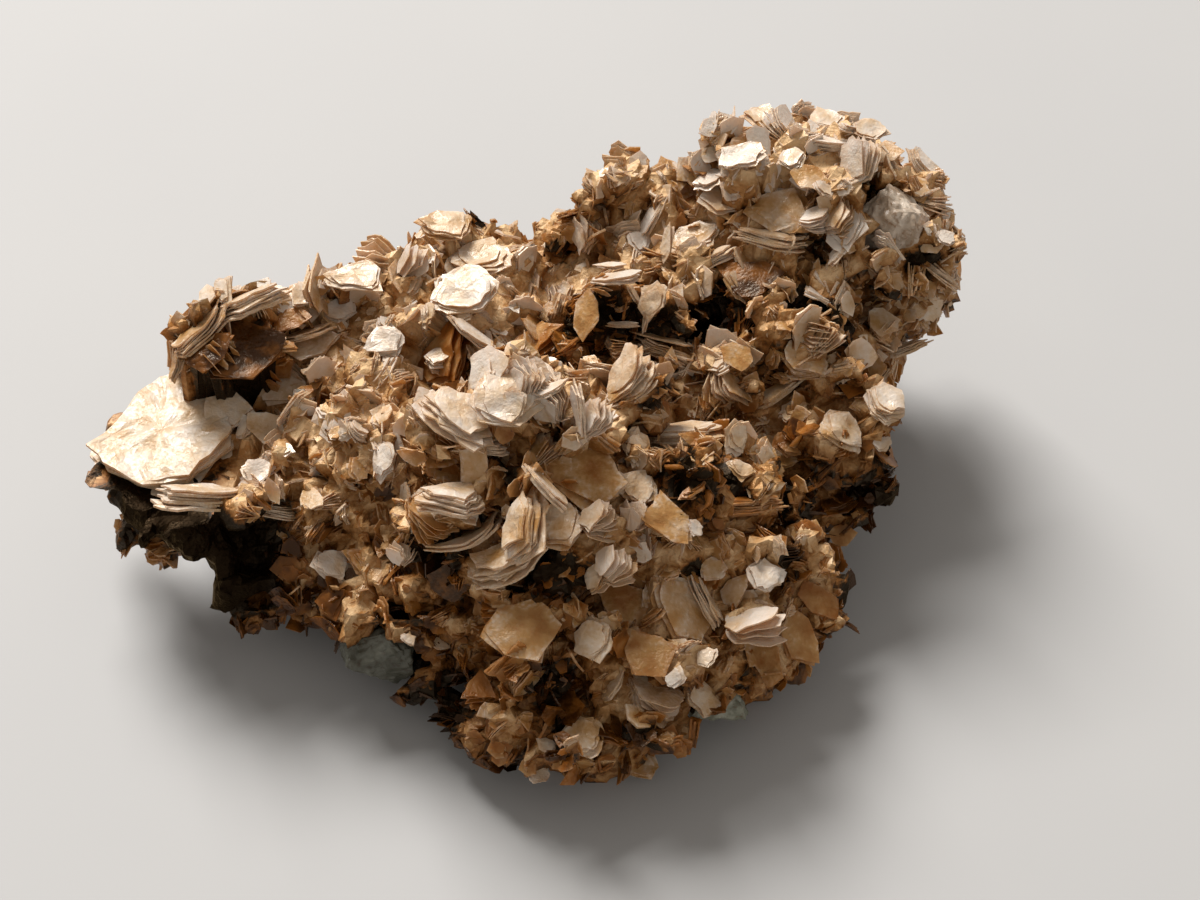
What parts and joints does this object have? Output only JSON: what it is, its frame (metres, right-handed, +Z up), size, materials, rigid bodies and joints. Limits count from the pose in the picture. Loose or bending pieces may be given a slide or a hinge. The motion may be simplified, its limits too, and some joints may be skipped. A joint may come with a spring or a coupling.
{
  "type": "mica crystal cluster",
  "caption": "Natural cluster of intergrown bronze-brown mica plates and books with bits of pale matrix, lying on the flat break at its foot.",
  "frame": {"origin": "under the middle of the cluster's box, on the plane of the flat break that it lies on", "axes": "+X along the long way, from the low left wing to the high knob; +Y from the crown and foot at the front to the back; +Z up"},
  "size_m": [0.0544, 0.0438, 0.0231],
  "materials": {
    "mica": "pearly to glassy thin plates, bronze brown, orange where light comes through, pale where a plate faces up",
    "quartz": "pale grey, glassy and a little cloudy",
    "feldspar": "dull grey-green, granular"
  },
  "bodies": {
    "root": {"mica_mass": "mica", "matrix_knob": "quartz", "matrix_front": "feldspar", "matrix_left": "feldspar"}
  },
  "joints": []
}
